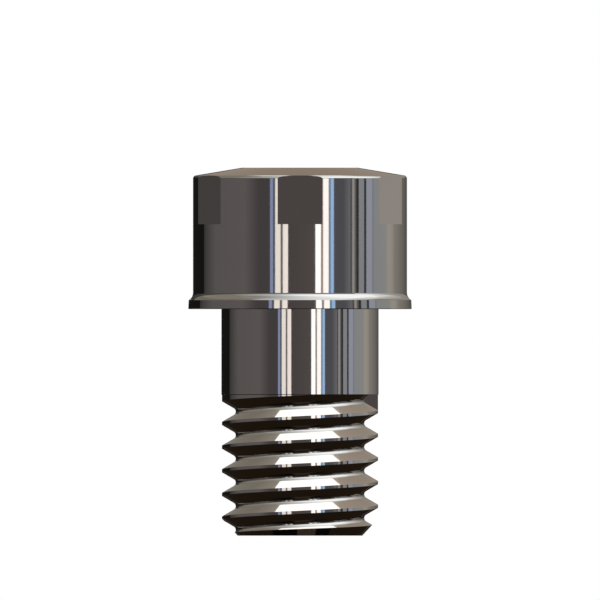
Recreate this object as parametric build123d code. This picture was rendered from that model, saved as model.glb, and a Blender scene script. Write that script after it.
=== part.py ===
from build123d import *
from math import cos, radians, sin, sqrt, tan
import os

# Magnetic abutment for a dental implant, in millimetres.
# The origin is the centre of the flange's underside, which seats on the implant.
# +Z is the axis, towards the magnetic face, and the screw thread points down.

# Head, outside
head_diameter = 4.07
head_height = 2.69
top_flat_diameter = 2.2
cone_angle = 9.45
rim_round = 0.06
across_flats = 3.98
flats_length = 1.075
flat_count = 6

# Flange at the foot of the head
flange_overhang = 0.09
flange_edge_height = 0.17
flange_edge_draft = 2.5
foot_fillet = 0.17
flange_edge_break = 0.015

# Head, inside
can_wall = 0.3
can_roof = 0.45
can_inner_chamfer = 0.08
spigot_height = 0.18
spigot_clearance = 0.01
spigot_chamfer = 0.05
magnet_clearance = 0.03
magnet_end_gap = 0.02
magnet_chamfer = 0.12

# Shank and thread
shank_diameter = 2.99
shank_length = 1.62
thread_diameter = 2.97
thread_pitch = 0.45
thread_length = 2.69
thread_angle = 60
thread_root_round = 0.079
groove_start_drop = 0.105
end_chamfer_width = 0.3
end_chamfer_length = 0.325

# Sizes that follow from those above
head_radius = head_diameter / 2
flange_radius = head_radius + flange_overhang
shank_radius = shank_diameter / 2
thread_radius = thread_diameter / 2
top_flat_radius = top_flat_diameter / 2
rim_height = head_height - (head_radius - top_flat_radius) * tan(radians(cone_angle))
flange_top_radius = flange_radius - flange_edge_height * tan(radians(flange_edge_draft))
foot_run = flange_top_radius - head_radius
foot_rise = sqrt(foot_fillet**2 - (foot_fillet - foot_run) ** 2)
seam_height = flange_edge_height + foot_rise
bore_radius = head_radius - can_wall
roof_height = head_height - can_roof
spigot_radius = bore_radius - spigot_clearance
spigot_top = seam_height + spigot_height
magnet_radius = bore_radius - magnet_clearance
magnet_height = roof_height - magnet_end_gap - spigot_top
crest_flat = thread_pitch / 8
thread_end = -shank_length - thread_length


def turned(section):
    """Turns a flat section, drawn as radius and height, about the axis."""
    return revolve(Plane.XZ * section, Axis.Z)


def corner_of(section, radius, height):
    """The corner of a flat section nearest to the given radius and height."""
    return section.vertices().sort_by_distance((radius, height, 0))[0]


def wrench_flats():
    """Slabs that leave a hexagon on the upper part of the head, one flat facing -Y."""
    depth = head_radius
    slab = Pos(across_flats / 2 + depth / 2, 0, head_height) * Box(depth, 2 * head_diameter, 2 * flats_length)
    step = 360 / flat_count
    return [Rot(0, 0, step * (i + 0.5)) * slab for i in range(flat_count)]


def head_can():
    """Closed cup over the magnet: bore, roof, shallow cone, rounded rim and wrench flats."""
    outline = Polyline(
        (0, roof_height),
        (bore_radius, roof_height),
        (bore_radius, seam_height),
        (head_radius, seam_height),
        (head_radius, rim_height),
        (top_flat_radius, head_height),
        (0, head_height),
        close=True,
    )
    section = make_face(outline)
    section = fillet(corner_of(section, head_radius, rim_height), rim_round)
    section = chamfer(corner_of(section, bore_radius, roof_height), can_inner_chamfer)
    return turned(section) - wrench_flats()


def magnet():
    """Disc magnet with broken edges, seated on the spigot."""
    disc = Cylinder(magnet_radius, magnet_height, align=(Align.CENTER, Align.CENTER, Align.MIN))
    return Pos(0, 0, spigot_top) * chamfer(disc.edges().filter_by(GeomType.CIRCLE), magnet_chamfer)


def flange_and_shank():
    """Spigot, seam land, concave foot of the head, flange and plain shank, turned in one."""
    foot_top = (head_radius, seam_height)
    foot_end = (flange_top_radius, flange_edge_height)
    seat_edge = (flange_radius, 0)
    above = Polyline(
        (0, -shank_length),
        (0, spigot_top),
        (spigot_radius - spigot_chamfer, spigot_top),
        (spigot_radius, spigot_top - spigot_chamfer),
        (spigot_radius, seam_height),
        foot_top,
    )
    foot = TangentArc(foot_top, foot_end, tangent=(0, -1))
    below = Polyline(
        foot_end,
        seat_edge,
        (shank_radius, 0),
        (shank_radius, -shank_length),
        (0, -shank_length),
    )
    section = make_face([above, foot, below])
    for corner in (foot_end, seat_edge):
        section = chamfer(corner_of(section, *corner), flange_edge_break)
    return turned(section)


def thread_blank():
    """Cylinder of the thread's major diameter, chamfered at its end, its seam clear of the groove's end."""
    outline = Polyline(
        (0, -shank_length),
        (thread_radius, -shank_length),
        (thread_radius, thread_end + end_chamfer_length),
        (thread_radius - end_chamfer_width, thread_end),
        (0, thread_end),
        close=True,
    )
    return Rot(0, 0, 45) * turned(make_face(outline))


def groove_section():
    """The space between two crests: a V with a rounded root, its mouth a little past the crests."""
    half_angle = radians(thread_angle / 2)
    half_mouth = (thread_pitch - crest_flat) / 2
    apex = thread_radius - half_mouth / tan(half_angle)
    root = apex + thread_root_round * (1 / sin(half_angle) - 1)
    tangent_r = root + thread_root_round * (1 - sin(half_angle))
    tangent_z = thread_root_round * cos(half_angle)
    open_r = thread_radius + crest_flat / 2
    open_z = (open_r - apex) * tan(half_angle)
    root_arc = ThreePointArc((tangent_r, -tangent_z), (root, 0), (tangent_r, tangent_z))
    flanks = Polyline(
        (tangent_r, tangent_z),
        (open_r, open_z),
        (open_r, -open_z),
        (tangent_r, -tangent_z),
    )
    return make_face([root_arc, flanks])


def thread_groove():
    """The groove, swept along a right-hand helix whose upper end is on the +X side."""
    turns = int(thread_length / thread_pitch) + 2
    start = Pos(0, 0, -shank_length - groove_start_drop - turns * thread_pitch)
    path = start * Helix(thread_pitch, turns * thread_pitch, thread_radius)
    return sweep(start * (Plane.XZ * groove_section()), path=path, is_frenet=True)


def threaded_base():
    """Everything below the seam, cut from one bar of titanium."""
    return flange_and_shank() + (thread_blank() - thread_groove())


nodes = {
    "threaded_base": threaded_base(),
    "magnet": magnet(),
    "head_can": head_can(),
}
os.makedirs("parts", exist_ok=True)
for name, shape in nodes.items():
    shape.label = name
    export_step(shape, f"parts/{name}.step")
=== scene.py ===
import math

import bmesh
import bpy
from mathutils import Matrix, Vector


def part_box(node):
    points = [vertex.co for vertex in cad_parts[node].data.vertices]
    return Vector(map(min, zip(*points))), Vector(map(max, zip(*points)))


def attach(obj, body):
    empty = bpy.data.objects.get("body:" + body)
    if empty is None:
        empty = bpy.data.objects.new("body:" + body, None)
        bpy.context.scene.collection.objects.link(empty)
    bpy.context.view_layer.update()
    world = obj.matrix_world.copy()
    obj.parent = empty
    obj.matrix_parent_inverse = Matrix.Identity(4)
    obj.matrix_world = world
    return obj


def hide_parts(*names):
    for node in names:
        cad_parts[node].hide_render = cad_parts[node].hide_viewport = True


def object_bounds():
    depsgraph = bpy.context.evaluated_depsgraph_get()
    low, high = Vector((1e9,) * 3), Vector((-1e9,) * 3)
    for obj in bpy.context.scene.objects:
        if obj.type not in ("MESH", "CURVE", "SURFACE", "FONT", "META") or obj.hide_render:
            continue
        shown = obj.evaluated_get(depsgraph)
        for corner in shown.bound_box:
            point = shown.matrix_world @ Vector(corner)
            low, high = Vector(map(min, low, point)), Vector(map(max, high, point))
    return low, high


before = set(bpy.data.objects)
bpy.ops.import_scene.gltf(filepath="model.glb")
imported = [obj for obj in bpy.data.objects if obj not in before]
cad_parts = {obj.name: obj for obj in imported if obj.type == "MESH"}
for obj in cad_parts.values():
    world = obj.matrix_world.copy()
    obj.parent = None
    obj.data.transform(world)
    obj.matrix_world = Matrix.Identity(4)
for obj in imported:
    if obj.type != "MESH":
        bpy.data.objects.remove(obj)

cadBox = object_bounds()
millimetre = 0.001  # every size below is in millimetres, and a finished mesh is scaled by this once


def nodeBox(name):
    low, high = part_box(name)
    return low / millimetre, high / millimetre


baseLow, baseHigh = nodeBox("threaded_base")
canLow, canHigh = nodeBox("head_can")
magnetHigh = nodeBox("magnet")[1]

# One round for every turned face, fine enough that a mirror finish shows no facets
lathe = {"segments": 512, "filletStep": 4.0, "sharpAngle": 9.0}  # the last two in degrees

# Meshes turned on the lathe


def arcPoints(centre, radius, fromAngle, toAngle):
    # angles in degrees, from the outward direction towards +Z
    steps = max(2, math.ceil(abs(toAngle - fromAngle) / lathe["filletStep"]))
    points = []
    for i in range(steps + 1):
        angle = math.radians(fromAngle + (toAngle - fromAngle) * i / steps)
        points.append((centre[0] + radius * math.cos(angle), centre[1] + radius * math.sin(angle)))
    return points


def turnedMesh(name, section):
    # section is radius and height, from one point on the axis round to another
    bm = bmesh.new()
    count = lathe["segments"]
    rings = []
    for radius, height in section:
        if radius == 0:
            rings.append([bm.verts.new((0, 0, height))])
            continue
        turn = [math.tau * (i + 0.5) / count for i in range(count)]
        rings.append([bm.verts.new((radius * math.cos(a), radius * math.sin(a), height)) for a in turn])
    for lower, upper in zip(rings, rings[1:]):
        for i in range(count):
            j = (i + 1) % count
            if len(lower) == 1:
                bm.faces.new((lower[0], upper[j], upper[i]))
            elif len(upper) == 1:
                bm.faces.new((lower[i], lower[j], upper[0]))
            else:
                bm.faces.new((lower[i], lower[j], upper[j], upper[i]))
    bmesh.ops.recalc_face_normals(bm, faces=bm.faces)
    mesh = bpy.data.meshes.new(name)
    bm.to_mesh(mesh)
    bm.free()
    return mesh


# Small helpers for node trees


def addNode(tree, kind, inputs=None, **settings):
    node = tree.nodes.new(kind)
    for key, value in settings.items():
        setattr(node, key, value)
    for key, value in (inputs or {}).items():
        if isinstance(value, bpy.types.NodeSocket):
            tree.links.new(value, node.inputs[key])
        else:
            node.inputs[key].default_value = value
    return node


def maths(tree, operation, first, second=0.0):
    kind = "ShaderNodeMath"
    return addNode(tree, kind, {0: first, 1: second}, operation=operation).outputs[0]


def startTree(name, inputs):
    tree = bpy.data.node_groups.new(name, "GeometryNodeTree")
    tree.interface.new_socket("Geometry", in_out="INPUT", socket_type="NodeSocketGeometry")
    for label, kind in inputs.items():
        tree.interface.new_socket(label, in_out="INPUT", socket_type="NodeSocket" + kind)
    tree.interface.new_socket("Geometry", in_out="OUTPUT", socket_type="NodeSocketGeometry")
    return tree, tree.nodes.new("NodeGroupInput").outputs, tree.nodes.new("NodeGroupOutput")


def endTree(tree, geometry, material, output):
    # real geometry with its material, as the last step of every tree
    real = addNode(tree, "GeometryNodeRealizeInstances", {"Geometry": geometry})
    painted = addNode(tree, "GeometryNodeSetMaterial", {"Geometry": real.outputs[0], "Material": material})
    tree.links.new(painted.outputs[0], output.inputs[0])


def runTree(blank, name, tree, values):
    # runs a tree on a mesh and gives back a plain object in metres, shaded as a machined part
    worked = bpy.data.objects.new(name + "Blank", blank)
    bpy.context.scene.collection.objects.link(worked)
    modifier = worked.modifiers.new("cut", "NODES")
    modifier.node_group = tree
    for item in tree.interface.items_tree:
        if item.in_out == "INPUT" and item.name in values:
            modifier[item.identifier] = values[item.name]
    mesh = bpy.data.meshes.new_from_object(worked.evaluated_get(bpy.context.evaluated_depsgraph_get()))
    worked.modifiers.clear()
    bpy.data.objects.remove(worked)
    mesh.transform(Matrix.Scale(millimetre, 4))
    mesh.shade_smooth()
    mesh.set_sharp_from_angle(angle=math.radians(lathe["sharpAngle"]))
    piece = bpy.data.objects.new(name, mesh)
    bpy.context.scene.collection.objects.link(piece)
    weighted = piece.modifiers.new("weighted", "WEIGHTED_NORMAL")
    weighted.keep_sharp = True
    weighted.weight = 100
    shaded = bpy.data.meshes.new_from_object(piece.evaluated_get(bpy.context.evaluated_depsgraph_get()))
    piece.modifiers.clear()
    piece.data = shaded
    shaded.name = name
    print(name, len(shaded.polygons), "faces")
    return piece


# Metals

titanium = {
    "colour": (0.54, 0.50, 0.46, 1),
    "warmColour": (0.52, 0.475, 0.43, 1),
    "roughness": (0.045, 0.065),
    "turningPitch": 0.012,
    "turningDepth": 0.000005,
    "patchSize": 1.4,
}
nickel = {
    "colour": (0.66, 0.61, 0.54, 1),
    "roughness": (0.28, 0.42),
    "grainSize": 0.02,
    "grainDepth": 0.0004,
}
noiseSpan = (0.3, 0.7)  # where nearly all values of a noise texture lie


def metal(name):
    material = bpy.data.materials.new(name)
    material.use_nodes = True
    tree = material.node_tree
    shader = tree.nodes["Principled BSDF"]
    shader.inputs["Metallic"].default_value = 1
    return material, tree, shader


def noiseValues(tree, place, size, detail, **settings):
    # size is that of one blotch, in millimetres
    inputs = {"Vector": place, "Scale": 1 / (size * millimetre), "Detail": detail}
    return addNode(tree, "ShaderNodeTexNoise", inputs, **settings).outputs[0]


def setGloss(tree, shader, noise, roughness):
    # the noise goes from the lower roughness to the higher one
    gloss = addNode(tree, "ShaderNodeMapRange", {
        0: noise, 1: noiseSpan[0], 2: noiseSpan[1], 3: roughness[0], 4: roughness[1]}).outputs[0]
    tree.links.new(gloss, shader.inputs["Roughness"])


def setRelief(tree, shader, height, depth):
    bump = addNode(tree, "ShaderNodeBump", {
        "Height": height, "Strength": 1.0, "Distance": depth * millimetre})
    tree.links.new(bump.outputs[0], shader.inputs["Normal"])


def polishedTitanium():
    material, tree, shader = metal("polishedTitanium")
    place = addNode(tree, "ShaderNodeTexCoord").outputs["Object"]
    split = addNode(tree, "ShaderNodeSeparateXYZ", {0: place}).outputs
    across = addNode(tree, "ShaderNodeCombineXYZ", {0: split[0], 1: split[1]}).outputs[0]
    radius = addNode(tree, "ShaderNodeVectorMath", {0: across}, operation="LENGTH").outputs["Value"]
    turnedPlace = addNode(tree, "ShaderNodeCombineXYZ", {0: radius, 1: split[2]}).outputs[0]
    turned = noiseValues(tree, turnedPlace, titanium["turningPitch"], 2.0, noise_dimensions="2D")
    patches = noiseValues(tree, place, titanium["patchSize"], 3.0)
    tone = addNode(tree, "ShaderNodeMix", {0: patches, 6: titanium["colour"], 7: titanium["warmColour"]},
                   data_type="RGBA")
    tree.links.new(tone.outputs[2], shader.inputs["Base Color"])
    mixed = maths(tree, "ADD", maths(tree, "MULTIPLY", turned, 0.5), maths(tree, "MULTIPLY", patches, 0.5))
    setGloss(tree, shader, mixed, titanium["roughness"])
    setRelief(tree, shader, turned, titanium["turningDepth"])
    return material


def platedMagnet():
    material, tree, shader = metal("platedMagnet")
    place = addNode(tree, "ShaderNodeTexCoord").outputs["Object"]
    grain = noiseValues(tree, place, nickel["grainSize"], 4.0)
    shader.inputs["Base Color"].default_value = nickel["colour"]
    setGloss(tree, shader, grain, nickel["roughness"])
    setRelief(tree, shader, grain, nickel["grainDepth"])
    return material


titaniumFinish = polishedTitanium()
magnetFinish = platedMagnet()
print("metals ready")

# Lower piece: spigot, foot of the head, flange, shank and thread

base = {
    "footFillet": 0.17,
    "flangeEdgeHeight": 0.17,
    "flangeRadius": 2.125,
    "flangeDraft": 2.5,
    "edgeRound": 0.015,  # along the flange's underside
    "topEdge": 0.0012,  # break between the foot and the flange's edge
    "footArc": 57.0,  # degrees of the foot's fillet
    "shoulderBreak": 0.012,  # between the shank and the thread
    "shankRadius": 1.495,
    "spigotChamfer": 0.05,
    "spigotClearance": 0.01,
    "magnetClearance": 0.03,
}
thread = {
    "radius": 1.485,
    "pitch": 0.45,
    "halfAngle": 30.0,
    "crestShare": 0.125,
    "rootRound": 0.079,
    "shoulder": -1.62,
    "startDrop": 0.105,  # from the shoulder down to the groove's upper end
    "chamferWidth": 0.3,
    "chamferLength": 0.325,
    "stepsPerTurn": 192,
    "rootSteps": 20,
}
headRadius = canHigh.x
boreRadius = magnetHigh.x + base["magnetClearance"]
spigotRadius = boreRadius - base["spigotClearance"]


def baseSection():
    # up from the tip of the thread to the seat of the magnet
    end = baseLow.z
    draft = math.radians(base["flangeDraft"])
    edge = base["edgeRound"]
    topRadius = base["flangeRadius"] - base["flangeEdgeHeight"] * math.tan(draft)
    footCentre = (headRadius + base["footFillet"], canLow.z)
    section = [
        (0, end),
        (thread["radius"] - thread["chamferWidth"], end),
        (thread["radius"], end + thread["chamferLength"]),
        (thread["radius"], thread["shoulder"] - base["shoulderBreak"]),
        (base["shankRadius"], thread["shoulder"]),
        (base["shankRadius"], 0),
    ]
    section += arcPoints((base["flangeRadius"] - edge, edge), edge, -90, base["flangeDraft"])
    foot = arcPoints(footCentre, base["footFillet"], 180, 180 + base["footArc"])
    section += [(topRadius, foot[-1][1] - base["topEdge"]), *reversed(foot[1:]), foot[0]]
    section += [
        (spigotRadius, canLow.z),
        (spigotRadius, baseHigh.z - base["spigotChamfer"]),
        (spigotRadius - base["spigotChamfer"], baseHigh.z),
        (0, baseHigh.z),
    ]
    return section


def grooveTree():
    tree, inputs, output = startTree("Cut thread groove", {
        "Major radius": "Float", "Pitch": "Float", "Crest flat": "Float", "Flank angle": "Float",
        "Root round": "Float", "Root steps": "Int", "Turns": "Int", "Steps per turn": "Int",
        "Start height": "Float", "Shoulder height": "Float", "Material": "Material"})
    major, pitch, crest = inputs["Major radius"], inputs["Pitch"], inputs["Crest flat"]
    slope = maths(tree, "TANGENT", inputs["Flank angle"])
    halfMouth = maths(tree, "MULTIPLY", maths(tree, "SUBTRACT", pitch, crest), 0.5)
    apex = maths(tree, "SUBTRACT", major, maths(tree, "DIVIDE", halfMouth, slope))
    mouthRadius = maths(tree, "ADD", major, maths(tree, "MULTIPLY", crest, 0.5))
    mouthHeight = maths(tree, "MULTIPLY", maths(tree, "SUBTRACT", mouthRadius, apex), slope)
    mouthDepth = maths(tree, "MULTIPLY", mouthHeight, -1.0)

    # the groove's section: a V whose point is rounded, closed by a straight mouth outside the crests
    corners = [(mouthRadius, mouthDepth), (apex, 0.0), (mouthRadius, mouthHeight), (mouthRadius, 0.0)]
    wedge = addNode(tree, "GeometryNodeCurvePrimitiveQuadrilateral", mode="POINTS")
    for i, (x, y) in enumerate(corners):
        point = addNode(tree, "ShaderNodeCombineXYZ", {0: x, 1: y}).outputs[0]
        tree.links.new(point, wedge.inputs[f"Point {i + 1}"])
    index = addNode(tree, "GeometryNodeInputIndex").outputs[0]
    isRoot = maths(tree, "COMPARE", index, 1.0)
    rootRadius = maths(tree, "MULTIPLY", isRoot, inputs["Root round"])
    rounded = addNode(tree, "GeometryNodeFilletCurve", {
        "Curve": wedge.outputs[0], "Count": inputs["Root steps"], "Radius": rootRadius}, mode="POLY")
    place = addNode(tree, "GeometryNodeInputPosition").outputs[0]
    section = addNode(tree, "GeometryNodeCaptureAttribute", {"Geometry": rounded.outputs[0]}, domain="POINT")
    section.capture_items.new("VECTOR", "Section")
    tree.links.new(place, section.inputs["Section"])

    # a straight bar of that section, as many steps long as the helix needs
    line = addNode(tree, "GeometryNodeCurvePrimitiveLine", {"End": (1.0, 0.0, 0.0)})
    steps = maths(tree, "MULTIPLY", inputs["Turns"], inputs["Steps per turn"])
    path = addNode(tree, "GeometryNodeResampleCurve",
                   {"Curve": line.outputs[0], "Count": maths(tree, "ADD", steps, 1.0)})
    factor = addNode(tree, "GeometryNodeSplineParameter").outputs["Factor"]
    along = addNode(tree, "GeometryNodeCaptureAttribute", {"Geometry": path.outputs[0]}, domain="POINT")
    along.capture_items.new("FLOAT", "Along")
    tree.links.new(factor, along.inputs["Along"])
    bar = addNode(tree, "GeometryNodeCurveToMesh", {
        "Curve": along.outputs["Geometry"], "Profile Curve": section.outputs["Geometry"], "Fill Caps": True})

    # wrapped down the right-hand helix, whose upper end is on the +X side
    turns = maths(tree, "MULTIPLY", along.outputs["Along"], inputs["Turns"])
    angle = maths(tree, "MULTIPLY", turns, math.tau)
    drop = maths(tree, "MULTIPLY", maths(tree, "SUBTRACT", turns, inputs["Turns"]), pitch)
    drawn = addNode(tree, "ShaderNodeSeparateXYZ", {0: section.outputs["Section"]}).outputs
    height = maths(tree, "ADD", maths(tree, "ADD", drop, drawn[1]), inputs["Start height"])
    wrapped = addNode(tree, "ShaderNodeCombineXYZ", {
        0: maths(tree, "MULTIPLY", drawn[0], maths(tree, "COSINE", angle)),
        1: maths(tree, "MULTIPLY", drawn[0], maths(tree, "SINE", angle)), 2: height})
    helix = addNode(tree, "GeometryNodeSetPosition", {
        "Geometry": bar.outputs[0], "Position": wrapped.outputs[0]})

    # nothing is cut above the shoulder of the shank
    guardSize = maths(tree, "MULTIPLY", mouthRadius, 3.0)  # wider and higher than the groove's end
    guardTop = maths(tree, "ADD", inputs["Shoulder height"], maths(tree, "MULTIPLY", guardSize, 0.5))
    guard = addNode(tree, "GeometryNodeMeshCube", {
        "Size": addNode(tree, "ShaderNodeCombineXYZ", {0: guardSize, 1: guardSize, 2: guardSize}).outputs[0]})
    lifted = addNode(tree, "GeometryNodeTransform", {
        "Geometry": guard.outputs[0],
        "Translation": addNode(tree, "ShaderNodeCombineXYZ", {2: guardTop}).outputs[0]})
    kept = addNode(tree, "GeometryNodeMeshBoolean", {"Mesh 1": helix.outputs[0]},
                   operation="DIFFERENCE", solver="MANIFOLD")
    tree.links.new(lifted.outputs[0], kept.inputs["Mesh 2"])
    cut = addNode(tree, "GeometryNodeMeshBoolean", {"Mesh 1": inputs["Geometry"]},
                  operation="DIFFERENCE", solver="MANIFOLD")
    tree.links.new(kept.outputs[0], cut.inputs["Mesh 2"])
    endTree(tree, cut.outputs[0], inputs["Material"], output)
    return tree


def makeThreadedBase():
    length = thread["shoulder"] - baseLow.z
    return runTree(turnedMesh("baseBlank", baseSection()), "threadedBase", grooveTree(), {
        "Major radius": thread["radius"], "Pitch": thread["pitch"],
        "Crest flat": thread["pitch"] * thread["crestShare"],
        "Flank angle": math.radians(thread["halfAngle"]), "Root round": thread["rootRound"],
        "Root steps": thread["rootSteps"], "Turns": int(length / thread["pitch"]) + 2,
        "Steps per turn": thread["stepsPerTurn"], "Start height": thread["shoulder"] - thread["startDrop"],
        "Shoulder height": thread["shoulder"], "Material": titaniumFinish})


# Upper piece: the cup over the magnet, with its cone, rounded rim and six wrench flats

head = {
    "topFlatRadius": 1.1,
    "coneAngle": 9.45,
    "rimRound": 0.06,
    "acrossFlats": 3.98,
    "flatsLength": 1.075,
    "flatCount": 6,
    "magnetEndGap": 0.02,
    "innerChamfer": 0.08,
    "cutterDepth": 0.3,  # as a share of the head's radius
    "cutterWidth": 1.3,  # as a share of a flat's width
}


def canSection():
    # out from the middle of the roof's underside, down the bore, up the wall and in over the cone
    roof = magnetHigh.z + head["magnetEndGap"]
    slope = math.radians(head["coneAngle"])
    corner = canHigh.z - (headRadius - head["topFlatRadius"]) * math.tan(slope)
    setback = head["rimRound"] * math.tan((math.pi / 2 - slope) / 2)
    rimCentre = (headRadius - head["rimRound"], corner - setback)
    rim = arcPoints(rimCentre, head["rimRound"], 0, 90 - head["coneAngle"])
    return [
        (0, roof),
        (boreRadius - head["innerChamfer"], roof),
        (boreRadius, roof - head["innerChamfer"]),
        (boreRadius, canLow.z),
        (headRadius, canLow.z),
        *rim,
        (head["topFlatRadius"], canHigh.z),
        (0, canHigh.z),
    ]


def flatsTree():
    tree, inputs, output = startTree("Mill wrench flats", {
        "Across flats": "Float", "Length": "Float", "Top height": "Float", "Count": "Int",
        "Cutter depth": "Float", "Cutter width": "Float", "Material": "Material"})
    size = addNode(tree, "ShaderNodeCombineXYZ", {
        0: inputs["Cutter depth"], 1: inputs["Cutter width"],
        2: maths(tree, "MULTIPLY", inputs["Length"], 2.0)}).outputs[0]
    reach = maths(tree, "MULTIPLY", maths(tree, "ADD", inputs["Across flats"], inputs["Cutter depth"]), 0.5)
    block = addNode(tree, "GeometryNodeMeshCube", {"Size": size})
    beside = addNode(tree, "GeometryNodeTransform", {
        "Geometry": block.outputs[0],
        "Translation": addNode(tree, "ShaderNodeCombineXYZ", {0: reach, 2: inputs["Top height"]}).outputs[0]})
    points = addNode(tree, "GeometryNodePoints", {"Count": inputs["Count"]})
    index = addNode(tree, "GeometryNodeInputIndex").outputs[0]
    share = maths(tree, "DIVIDE", maths(tree, "ADD", index, 0.5), inputs["Count"])
    turn = addNode(tree, "FunctionNodeAxisAngleToRotation", {
        "Axis": (0.0, 0.0, 1.0), "Angle": maths(tree, "MULTIPLY", share, math.tau)})
    blocks = addNode(tree, "GeometryNodeInstanceOnPoints", {
        "Points": points.outputs[0], "Instance": beside.outputs[0], "Rotation": turn.outputs[0]})
    solid = addNode(tree, "GeometryNodeRealizeInstances", {"Geometry": blocks.outputs[0]})
    cut = addNode(tree, "GeometryNodeMeshBoolean", {"Mesh 1": inputs["Geometry"]},
                  operation="DIFFERENCE", solver="MANIFOLD")
    tree.links.new(solid.outputs[0], cut.inputs["Mesh 2"])
    endTree(tree, cut.outputs[0], inputs["Material"], output)
    return tree


def makeHeadCan():
    flatWidth = 2 * math.sqrt(headRadius**2 - (head["acrossFlats"] / 2) ** 2)
    return runTree(turnedMesh("canBlank", canSection()), "headCan", flatsTree(), {
        "Across flats": head["acrossFlats"], "Length": head["flatsLength"], "Top height": canHigh.z,
        "Count": head["flatCount"], "Cutter depth": head["cutterDepth"] * headRadius,
        "Cutter width": head["cutterWidth"] * flatWidth,
        "Material": titaniumFinish})


threadedBase = makeThreadedBase()
headCan = makeHeadCan()
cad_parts["magnet"].data.materials.clear()
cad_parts["magnet"].data.materials.append(magnetFinish)
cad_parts["magnet"].visible_glossy = False

# Studio: a white room to the camera, with panels and a lining that only the metal mirrors
# Distances are in metres, azimuth is in degrees from the camera to the right, elevation is above the horizon

studio = {
    "cardDistance": 0.5,
    "overheadDistance": 0.45,
    "liningDistance": 0.8,
    "ceilingTone": (0.365, 0.35, 0.31),
    "floorTone": (0.019, 0.0135, 0.0085),
    "wallEdges": (-5, 6.5),
    "valanceEdges": (6.5, 17),
    "ringEdges": (17, 58),
    "stripHeights": (-10, -15, -20, -25),
    "stripWidth": 1.6,
    "belowShare": 0.45,  # how bright the strips below a wall are beside it
    "belowReach": 48,  # walls out to here have strips below them
    "panelStep": 4,  # degrees to one column of a panel's mesh
    "panelRows": 8,
    "flatSteps": 12,
    "liningSteps": (72, 18),
}
# walls of the room, from behind on the left round to behind on the right
walls = [
    {"name": "leftDoorway", "from": -180, "to": -127, "tone": (0.012, 0.012, 0.012)},
    {"name": "leftWallFar", "from": -127, "to": -105,
     "tone": (0.062, 0.062, 0.062), "farTone": (0.158, 0.155, 0.163)},
    {"name": "leftWallMiddle", "from": -105, "to": -62,
     "tone": (0.165, 0.161, 0.172), "farTone": (0.178, 0.174, 0.183)},
    {"name": "leftWallNear", "from": -62, "to": -45.5,
     "tone": (0.178, 0.174, 0.183), "farTone": (0.1, 0.092, 0.1)},
    {"name": "leftWallCorner", "from": -45.5, "to": -32.4,
     "tone": (0.1, 0.092, 0.1), "farTone": (0.094, 0.09, 0.095)},
    {"name": "leftWindow", "from": -32.4, "to": -29.2, "tone": (0.4, 0.48, 0.84)},
    {"name": "leftWindowFrame", "from": -29.2, "to": -26.8, "tone": (0.12, 0.16, 0.2)},
    {"name": "leftSoftboxOuter", "from": -26.8, "to": -20.85, "tone": (1.45, 1.43, 1.42)},
    {"name": "leftSoftboxBar", "from": -20.85, "to": -18.5, "tone": (0.22, 0.2, 0.2)},
    {"name": "leftSoftboxInner", "from": -18.5, "to": -12.9,
     "tone": (1.47, 1.45, 1.46), "farTone": (1.65, 1.6, 1.58)},
    {"name": "frontCurtain", "from": -12.9, "to": 16.6,
     "tone": (0.11, 0.099, 0.109), "farTone": (0.135, 0.124, 0.13)},
    {"name": "rightSoftboxInner", "from": 16.6, "to": 22.5, "tone": (2.2, 2.2, 2.3)},
    {"name": "rightSoftboxBar", "from": 22.5, "to": 24.9, "tone": (0.42, 0.36, 0.38)},
    {"name": "rightSoftboxOuter", "from": 24.9, "to": 31, "tone": (1.92, 1.95, 2.0)},
    {"name": "rightWindowFrame", "from": 31, "to": 33.3, "tone": (0.25, 0.38, 0.6)},
    {"name": "rightWindow", "from": 33.3, "to": 36.8, "tone": (0.55, 0.9, 1.45)},
    {"name": "rightWallNear", "from": 36.8, "to": 48, "tone": (0.127, 0.137, 0.166)},
    {"name": "rightWallMiddle", "from": 48, "to": 56.1,
     "tone": (0.127, 0.137, 0.166), "farTone": (0.24, 0.26, 0.3)},
    {"name": "doorTrim", "from": 56.1, "to": 58.2, "tone": (0.12, 0.12, 0.13)},
    {"name": "doorFrame", "from": 58.2, "to": 61.2, "tone": (0.48, 0.48, 0.51)},
    {"name": "doorStop", "from": 61.2, "to": 63.4, "tone": (0.18, 0.185, 0.19)},
    {"name": "doorGap", "from": 63.4, "to": 66.5, "tone": (0.045, 0.047, 0.047)},
    {"name": "door", "from": 66.5, "to": 73.5, "tone": (0.385, 0.424, 0.485)},
    {"name": "doorShade", "from": 73.5, "to": 76.4, "tone": (0.05, 0.055, 0.075)},
    {"name": "rightWallFar", "from": 76.4, "to": 84.8, "tone": (0.465, 0.525, 0.67)},
    {"name": "wallCorner", "from": 84.8, "to": 86.4, "tone": (0.31, 0.34, 0.4)},
    {"name": "sideWall", "from": 86.4, "to": 108,
     "tone": (0.395, 0.435, 0.49), "farTone": (0.42, 0.455, 0.48)},
    {"name": "woodPanel", "from": 108, "to": 117, "tone": (0.515, 0.505, 0.475)},
    {"name": "woodPanelEdge", "from": 117, "to": 121.5, "tone": (0.47, 0.455, 0.445)},
    {"name": "rightWallBack", "from": 121.5, "to": 155,
     "tone": (0.38, 0.37, 0.345), "farTone": (0.15, 0.15, 0.14)},
    {"name": "rightDoorway", "from": 155, "to": 180,
     "tone": (0.14, 0.14, 0.13), "farTone": (0.06, 0.06, 0.055)},
]
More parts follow.
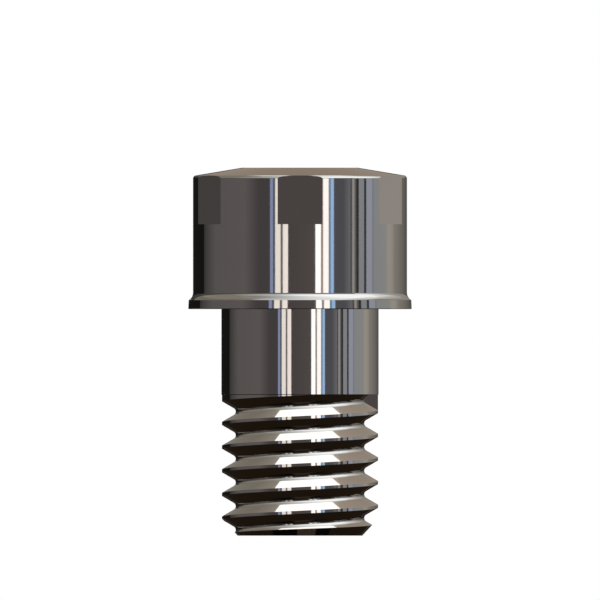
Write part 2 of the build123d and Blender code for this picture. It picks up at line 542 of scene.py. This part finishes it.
# between the walls and the lights
valance = [
    {"name": "valanceLeft", "from": -172, "to": -60,
     "tone": (0.05, 0.05, 0.05), "farTone": (0.15, 0.148, 0.15)},
    {"name": "valanceFront", "from": -60, "to": 20,
     "tone": (0.13, 0.128, 0.13), "farTone": (0.1, 0.1, 0.1)},
    {"name": "valanceFrontRight", "from": 20, "to": 62,
     "tone": (0.1, 0.1, 0.1), "farTone": (0.3, 0.3, 0.3)},
    {"name": "valanceRight", "from": 62, "to": 110, "tone": (0.95, 1.0, 1.1), "farTone": (0.6, 0.62, 0.65)},
    {"name": "valanceBackRight", "from": 110, "to": 172,
     "tone": (0.6, 0.62, 0.65), "farTone": (0.3, 0.28, 0.25)},
]
# narrow lamps low down: the part's walls mirror them when it is seen from above, and hardly from the front
below = [
    {"name": "sideLampLeft", "from": -98, "to": -60,
     "tone": (0.1, 0.1, 0.1), "farTone": (0.55, 0.54, 0.53)},
    {"name": "cornerLampLeft", "from": -60, "to": -34,
     "tone": (0.3, 0.29, 0.29), "farTone": (0.18, 0.18, 0.18)},
    {"name": "sideLampRight", "from": 66, "to": 100,
     "tone": (0.6, 0.62, 0.66), "farTone": (0.4, 0.42, 0.45)},
    {"name": "backLampRight", "from": 112, "to": 144,
     "tone": (0.75, 0.73, 0.7), "farTone": (0.5, 0.48, 0.45)},
    {"name": "backLampLeft", "from": -150, "to": -122, "heights": (-10, -15),
     "tone": (0.4, 0.39, 0.37), "farTone": (0.75, 0.74, 0.72)},
    {"name": "farLampLeft", "from": -122, "to": -98, "heights": (-10, -15),
     "tone": (0.5, 0.49, 0.47), "farTone": (0.28, 0.28, 0.27)},
    {"name": "backShadeRight", "from": 144, "to": 180, "heights": (-15,),
     "tone": (0.17, 0.16, 0.15), "farTone": (0.06, 0.057, 0.053)},
    {"name": "backShadeLeft", "from": -180, "to": -150, "heights": (-15,),
     "tone": (0.06, 0.057, 0.053), "farTone": (0.12, 0.115, 0.11)},
]
# above the walls: a ring of light that grows from the left to the right
ring = [
    {"name": "ringLeft", "from": -80, "to": -30,
     "tone": (0.372, 0.389, 0.356), "farTone": (0.784, 0.84, 0.832)},
    {"name": "frontLightLow", "from": -30, "to": 0, "edges": (17, 31),
     "tone": (0.702, 0.764, 0.798), "farTone": (1.197, 1.313, 1.418)},
    {"name": "frontLight", "from": -30, "to": 0, "edges": (31, 45),
     "tone": (0.765, 0.833, 0.871), "farTone": (1.638, 1.823, 1.995)},
    {"name": "frontLightHigh", "from": -30, "to": 0, "edges": (45, 58),
     "tone": (0.72, 0.784, 0.809), "farTone": (1.098, 1.205, 1.281)},
    {"name": "rightLightLow", "from": 0, "to": 40, "edges": (17, 31),
     "tone": (1.197, 1.3, 1.404), "farTone": (1.53, 1.649, 1.768)},
    {"name": "rightLight", "from": 0, "to": 40, "edges": (31, 45),
     "tone": (1.638, 1.804, 1.976), "farTone": (1.89, 2.037, 2.184)},
    {"name": "rightLightHigh", "from": 0, "to": 40, "edges": (45, 58),
     "tone": (1.098, 1.193, 1.269), "farTone": (1.8, 1.94, 2.08)},
    {"name": "sideLightLow", "from": 40, "to": 82, "edges": (17, 31),
     "tone": (1.53, 1.615, 1.683), "farTone": (1.62, 1.758, 1.93)},
    {"name": "sideLight", "from": 40, "to": 98, "edges": (31, 58),
     "tone": (1.89, 1.995, 2.079), "farTone": (1.89, 2.042, 2.228)},
    {"name": "sideLightFar", "from": 82, "to": 108, "edges": (17, 31),
     "tone": (1.62, 1.758, 1.93), "farTone": (1.035, 1.14, 1.238)},
    {"name": "skylightEdge", "from": 98, "to": 108, "edges": (31, 58),
     "tone": (1.84, 1.968, 2.085), "farTone": (1.288, 1.363, 1.406)},
    {"name": "skylight", "from": 108, "to": 130,
     "tone": (1.196, 1.267, 1.31), "farTone": (0.736, 0.768, 0.766)},
    {"name": "skylightFar", "from": 130, "to": 155,
     "tone": (0.736, 0.768, 0.766), "farTone": (0.46, 0.47, 0.446)},
]
# the wall behind, which the cone on the head mirrors
backWall = [
    {"name": "backWallRight", "from": 155, "to": 172, "tone": (0.42, 0.38, 0.33)},
    {"name": "backWall", "from": 172, "to": 188, "edges": (6.5, 58), "tone": (0.34, 0.285, 0.235)},
    {"name": "backWallLeft", "from": 188, "to": 222, "tone": (0.25, 0.23, 0.2)},
]
# panels above and below, placed by how far they are to the right and to the back of a point one unit away
ceiling = [
    {"name": "ceilingFarLeft", "across": (-1, -0.5), "back": (-0.62, 0.12),
     "tone": (0.326, 0.342, 0.33), "farTone": (0.465, 0.49, 0.484)},
    {"name": "ceilingFrontLeft", "across": (-0.5, 0.1), "back": (-0.62, 0.12),
     "tone": (0.465, 0.49, 0.484), "farTone": (1.181, 1.295, 1.386)},
    {"name": "ceilingFrontRight", "across": (0.1, 0.62), "back": (-0.62, 0.12),
     "tone": (1.181, 1.295, 1.386), "farTone": (1.674, 1.836, 1.98)},
    {"name": "ceilingFarRight", "across": (0.62, 2), "back": (-0.62, 0.08),
     "tone": (1.721, 1.887, 2.035), "farTone": (1.628, 1.816, 2.035)},
    {"name": "ceilingMiddleLeft", "across": (-0.34, 0.1), "back": (0.12, 0.5),
     "tone": (0.698, 0.765, 0.792), "farTone": (1.302, 1.428, 1.485)},
    {"name": "ceilingMiddle", "across": (0.1, 0.7), "back": (0.12, 0.5),
     "tone": (1.302, 1.428, 1.485), "farTone": (1.023, 1.122, 1.155)},
    {"name": "ceilingMiddleRight", "across": (0.7, 1.3), "back": (0.12, 0.5),
     "tone": (1.209, 1.326, 1.375), "farTone": (1.256, 1.377, 1.485)},
    {"name": "ceilingWindow", "across": (-0.24, 0.257), "back": (0.5, 1.1), "tone": (2.2, 2.2, 2.2)},
    {"name": "ceilingBackFarLeft", "across": (-0.62, -0.4155), "back": (0.5, 5),
     "tone": (0.27, 0.252, 0.223), "farTone": (0.29, 0.27, 0.237)},
    {"name": "ceilingBackLeft", "across": (-0.4155, -0.24), "back": (0.5, 5),
     "tone": (0.29, 0.27, 0.237), "farTone": (0.444, 0.413, 0.371)},
    {"name": "ceilingNearRight", "across": (0.257, 0.75), "back": (0.5, 0.75),
     "tone": (0.6, 0.58, 0.52), "farTone": (0.8, 0.78, 0.74)},
    {"name": "ceilingBackRight", "across": (0.257, 0.7), "back": (0.75, 6),
     "tone": (0.575, 0.505, 0.435), "farTone": (0.33, 0.283, 0.245)},
]
table = [
    {"name": "tableShadowLeft", "across": (-0.45, -0.045), "back": (-0.6, 0.35),
     "tone": (0.003, 0.003, 0.003)},
    {"name": "tableSheen", "across": (-0.045, 0.256), "back": (-0.6, 0.35), "tone": (0.05, 0.039, 0.032)},
    {"name": "tableShadowRight", "across": (0.256, 0.48), "back": (-0.6, 0.35),
     "tone": (0.003, 0.003, 0.003)},
]


def onlyMirrored(piece):
    # seen in the metal, and neither by the camera nor as light on the floor
    piece.visible_camera = False
    piece.visible_diffuse = False
    piece.visible_transmission = False
    piece.visible_volume_scatter = False
    piece.visible_shadow = False


def glow(name, tone, farTone):
    material = bpy.data.materials.new(name)
    material.use_nodes = True
    tree = material.node_tree
    tree.nodes.clear()
    place = addNode(tree, "ShaderNodeUVMap").outputs[0]
    across = addNode(tree, "ShaderNodeSeparateXYZ", {0: place}).outputs[0]
    blend = addNode(tree, "ShaderNodeMix", {0: across, 6: (*tone, 1), 7: (*farTone, 1)}, data_type="RGBA")
    light = addNode(tree, "ShaderNodeEmission", {"Color": blend.outputs[2], "Strength": 1.0})
    addNode(tree, "ShaderNodeOutputMaterial", {"Surface": light.outputs[0]})
    return material


def gridPiece(name, columns, rows, place, material):
    # place gives a point for two shares from 0 to 1, and the first share is the U of the map
    bm = bmesh.new()
    uv = bm.loops.layers.uv.new("UVMap")
    corners = [
        [bm.verts.new(place(i / columns, j / rows)) for i in range(columns + 1)]
        for j in range(rows + 1)
    ]
    for j in range(rows):
        for i in range(columns):
            face = bm.faces.new(
                (corners[j][i], corners[j][i + 1], corners[j + 1][i + 1], corners[j + 1][i]))
            for loop, (u, v) in zip(face.loops, ((i, j), (i + 1, j), (i + 1, j + 1), (i, j + 1))):
                loop[uv].uv = (u / columns, v / rows)
    mesh = bpy.data.meshes.new(name)
    bm.to_mesh(mesh)
    bm.free()
    mesh.materials.append(material)
    piece = bpy.data.objects.new(name, mesh)
    bpy.context.scene.collection.objects.link(piece)
    return piece


def towards(azimuth, elevation, distance):
    a, e = math.radians(azimuth), math.radians(elevation)
    return Vector((math.sin(a) * math.cos(e), -math.cos(a) * math.cos(e), math.sin(e))) * distance


def hangPanel(panel, edges, share=1.0, suffix=""):
    low, high = panel.get("edges", edges)

    def place(u, v):
        azimuth = panel["from"] + (panel["to"] - panel["from"]) * u
        return towards(azimuth, low + (high - low) * v, studio["cardDistance"])

    name = panel["name"] + suffix
    near = [value * share for value in panel["tone"]]
    far = [value * share for value in panel.get("farTone", panel["tone"])]
    columns = max(2, math.ceil((panel["to"] - panel["from"]) / studio["panelStep"]))
    onlyMirrored(gridPiece(name, columns, studio["panelRows"], place, glow(name, near, far)))


def hangStrips(panel, share=1.0):
    half = studio["stripWidth"] / 2
    for height in panel.get("heights", studio["stripHeights"]):
        hangPanel(panel, (height - half, height + half), share, f"Strip{-height}")


def hangLining(name, low, high, tone):
    def place(u, v):
        return towards(360 * u, low + (high - low) * v, studio["liningDistance"])

    onlyMirrored(gridPiece(name, *studio["liningSteps"], place, glow(name, tone, tone)))


def hangFlat(panel, up):
    # up is 1 for the ceiling and -1 for the table
    (left, right), (front, back) = panel["across"], panel["back"]

    def place(u, v):
        aim = Vector((left + (right - left) * u, front + (back - front) * v, up))
        return aim.normalized() * studio["overheadDistance"]

    finish = glow(panel["name"], panel["tone"], panel.get("farTone", panel["tone"]))
    onlyMirrored(gridPiece(panel["name"], studio["flatSteps"], studio["flatSteps"], place, finish))


for panel in walls:
    hangPanel(panel, studio["wallEdges"])
    if max(-panel["from"], panel["to"]) <= studio["belowReach"]:
        hangStrips(panel, studio["belowShare"])  # as the table would mirror them
for panel in valance:
    hangPanel(panel, studio["valanceEdges"])
for panel in below:
    hangStrips(panel)
for panel in ring + backWall:
    hangPanel(panel, studio["ringEdges"])
for panel in ceiling:
    hangFlat(panel, 1)
for panel in table:
    hangFlat(panel, -1)
hangLining("ceilingLining", 0, 90, studio["ceilingTone"])
hangLining("floorLining", -90, 0, studio["floorTone"])
print("panels hung", len(walls + valance + below + ring + backWall + ceiling + table))

# Floor, light and camera of the photograph, in millimetres and degrees

floorPlan = {
    "halfWidth": 400,
    "steps": 8,
    "colour": (0.86, 0.86, 0.85, 1),
    "roughness": 0.7,
    "fade": (5, 16),  # from its own colour to white
}
softKey = {"energy": 0.7, "spread": 40, "tilt": (32, -24)}
view = {"width": 11.412, "height": 0.173, "distance": 50, "clip": (1, 10000)}


def layFloor():
    material = bpy.data.materials.new("paleFloor")
    material.use_nodes = True
    tree = material.node_tree
    shader = tree.nodes["Principled BSDF"]
    shader.inputs["Base Color"].default_value = floorPlan["colour"]
    shader.inputs["Roughness"].default_value = floorPlan["roughness"]
    # it turns to the white of the background before its far edge, so no horizon shows
    place = addNode(tree, "ShaderNodeTexCoord").outputs["Object"]
    away = addNode(tree, "ShaderNodeVectorMath", {0: place}, operation="LENGTH").outputs["Value"]
    near, far = (edge * millimetre for edge in floorPlan["fade"])
    fade = addNode(tree, "ShaderNodeMapRange", {0: away, 1: near, 2: far, 3: 0.0, 4: 1.0},
                   interpolation_type="SMOOTHSTEP").outputs[0]
    rays = addNode(tree, "ShaderNodeLightPath").outputs
    seen = maths(tree, "MAXIMUM", maths(tree, "MAXIMUM", rays["Is Camera Ray"], rays["Is Glossy Ray"]),
                 rays["Is Transmission Ray"])
    white = addNode(tree, "ShaderNodeEmission", {"Color": (1, 1, 1, 1), "Strength": 1.0})
    mixed = addNode(tree, "ShaderNodeMixShader", {
        0: maths(tree, "MULTIPLY", seen, fade), 1: shader.outputs[0], 2: white.outputs[0]})
    tree.links.new(mixed.outputs[0], tree.nodes["Material Output"].inputs["Surface"])
    reach = floorPlan["halfWidth"] * millimetre

    def floorPoint(u, v):
        return Vector((reach * (2 * u - 1), reach * (2 * v - 1), cadBox[0].z))

    floor = gridPiece("floor", floorPlan["steps"], floorPlan["steps"], floorPoint, material)
    floor.visible_glossy = False  # the metal mirrors the lining and the panels there


def lightRoom():
    world = bpy.data.worlds.new("whiteRoom")
    world.use_nodes = True
    world.node_tree.nodes["Background"].inputs["Color"].default_value = (1, 1, 1, 1)
    world.node_tree.nodes["Background"].inputs["Strength"].default_value = 1.0
    bpy.context.scene.world = world
    lamp = bpy.data.lights.new("softKey", "SUN")
    lamp.energy = softKey["energy"]
    lamp.angle = math.radians(softKey["spread"])
    key = bpy.data.objects.new("softKey", lamp)
    key.rotation_euler = (*(math.radians(angle) for angle in softKey["tilt"]), 0)
    key.visible_glossy = False
    bpy.context.scene.collection.objects.link(key)


def setCamera():
    # a level view from the front with no perspective, as wide as the photograph
    data = bpy.data.cameras.new("camera")
    data.type = "ORTHO"
    data.ortho_scale = view["width"] * millimetre
    data.clip_start, data.clip_end = (edge * millimetre for edge in view["clip"])
    camera = bpy.data.objects.new("camera", data)
    camera.location = (0, -view["distance"] * millimetre, view["height"] * millimetre)
    camera.rotation_euler = (math.pi / 2, 0, 0)
    bpy.context.scene.collection.objects.link(camera)
    bpy.context.scene.camera = camera


layFloor()
lightRoom()
setCamera()
bpy.context.scene.view_settings.view_transform = "Standard"
print("studio ready")

for piece, node in ((threadedBase, "threaded_base"), (headCan, "head_can")):
    piece.visible_glossy = False
    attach(piece, "root")
    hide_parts(node)
